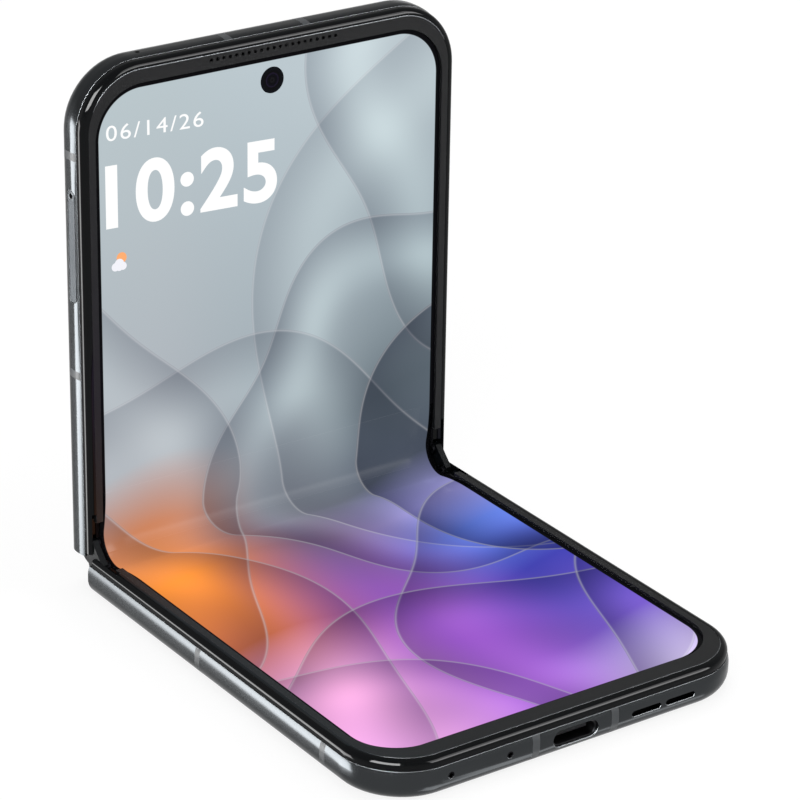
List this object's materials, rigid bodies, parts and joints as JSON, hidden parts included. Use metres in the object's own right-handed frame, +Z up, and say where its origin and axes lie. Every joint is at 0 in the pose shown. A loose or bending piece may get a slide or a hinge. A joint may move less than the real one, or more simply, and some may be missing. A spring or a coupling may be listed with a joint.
{
  "type": "foldable smartphone",
  "caption": "Clamshell foldable smartphone standing half open: flexible inner display, raised rims, geared hinge spine, cover display and sliding card tray",
  "frame": {"origin": "centre of the lower half's flat back face, on the surface the phone stands on", "axes": "+X across the phone to the right as seen from its display side, -Y from the fold towards the lower half's outer end, +Z up"},
  "size_m": [0.0744, 0.0949, 0.0924],
  "materials": {
    "body_metal": "satin graphite",
    "aerial_plastic": "satin",
    "gloss_rim": "polished",
    "matte_rim": "fine matte",
    "display": null,
    "plate": "thin sheet",
    "back_texture": "leather-like grain",
    "cover_glass": "polished dark glass",
    "cover_panel": "display panel under glass",
    "battery_foil": "foil pouch",
    "board": "solder mask",
    "black_plastic": "moulded",
    "mesh": "woven",
    "small_metal": "plated",
    "copper": "wound wire",
    "hinge_metal": "sintered",
    "spine_metal": "satin graphite",
    "cap_plastic": "satin",
    "pin_steel": "ground",
    "gear_metal": "cut",
    "magnet": "nickel plated",
    "camera_black": "black housing",
    "ring_metal": "satin with a bright edge",
    "lens_glass": "coated",
    "flash": "diffusing"
  },
  "bodies": {
    "lower_half": {"lower_frame": "body_metal", "lower_antenna_bands": "aerial_plastic", "lower_gloss_rim": "gloss_rim", "lower_bezel": "matte_rim", "lower_display": "display", "lower_support_plate": "plate", "lower_back_panel": "back_texture", "lower_battery": "battery_foil", "charging_board": "board", "usb_port": "plate", "usb_tongue": "black_plastic", "loudspeaker": "black_plastic", "speaker_mesh": "mesh", "haptic_motor": "small_metal", "lower_microphones": "small_metal", "charging_coil": "copper", "lower_hinge_arms": "hinge_metal", "lower_screws": "pin_steel", "lower_magnets": "magnet"},
    "hinge_spine": {"spine_cover": "spine_metal", "spine_end_caps": "cap_plastic", "hinge_blocks": "hinge_metal", "hinge_pins": "pin_steel", "gear_shafts": "pin_steel", "display_fold": "display"},
    "upper_half": {"upper_frame": "body_metal", "upper_antenna_bands": "aerial_plastic", "upper_gloss_rim": "gloss_rim", "upper_bezel": "matte_rim", "upper_display": "display", "upper_support_plate": "plate", "cover_glass": "cover_glass", "cover_display": "cover_panel", "upper_back_strip": "back_texture", "upper_battery": "battery_foil", "main_board": "board", "board_shields": "plate", "selfie_camera": "camera_black", "main_camera": "camera_black", "wide_camera": "camera_black", "camera_rings": "ring_metal", "camera_lenses": "lens_glass", "flash_led": "flash", "earpiece": "black_plastic", "upper_microphone": "small_metal", "sim_reader": "plate", "key_flex": "board", "upper_hinge_arms": "hinge_metal", "upper_screws": "pin_steel", "upper_magnets": "magnet"},
    "sync_gear_lower": {"sync_gear_lower": "gear_metal"},
    "sync_gear_upper": {"sync_gear_upper": "gear_metal"},
    "sim_tray": {"sim_tray": "body_metal"},
    "power_button": {"power_button": "body_metal"},
    "volume_rocker": {"volume_rocker": "body_metal"}
  },
  "joints": [
    {"name": "lower_fold", "type": "hinge", "parent": "lower_half", "child": "hinge_spine", "pos_m": [0, 0.04072, 0.00575], "axis": [1, 0, 0], "range_deg": [-44.45, 45.55], "deforming": ["display_fold"]},
    {"name": "upper_fold", "type": "hinge", "parent": "hinge_spine", "child": "upper_half", "pos_m": [0, 0.04383, 0.0088], "axis": [1, 0, 0], "range_deg": [-44.45, 45.55]},
    {"name": "sync_gear_lower_spin", "type": "hinge", "parent": "hinge_spine", "child": "sync_gear_lower", "pos_m": [0, 0.04287, 0.00468], "axis": [1, 0, 0], "range_deg": [-31.76, 32.55]},
    {"name": "sync_gear_upper_spin", "type": "hinge", "parent": "hinge_spine", "child": "sync_gear_upper", "pos_m": [0, 0.04487, 0.00664], "axis": [1, 0, 0], "range_deg": [-32.55, 31.76]},
    {"name": "sim_tray_slide", "type": "slide", "parent": "upper_half", "child": "sim_tray", "axis": [-1, 0, 0], "range_m": [0, 0.024]},
    {"name": "power_button_press", "type": "slide", "parent": "upper_half", "child": "power_button", "axis": [-1, 0, 0], "range_m": [0, 0.00025], "stiffness_N_per_m": 6000},
    {"name": "volume_rocker_tilt", "type": "hinge", "parent": "upper_half", "child": "volume_rocker", "pos_m": [0.03495, 0.04668, 0.06608], "axis": [0, -0.9998, 0.0192], "range_deg": [-1.2, 1.2], "stiffness_Nm_per_rad": 0.6}
  ],
  "couplings": [
    {"joint": "upper_fold", "follows": "lower_fold", "ratio": 1},
    {"joint": "sync_gear_lower_spin", "follows": "lower_fold", "ratio": 0.71429},
    {"joint": "sync_gear_upper_spin", "follows": "lower_fold", "ratio": -0.71429}
  ]
}
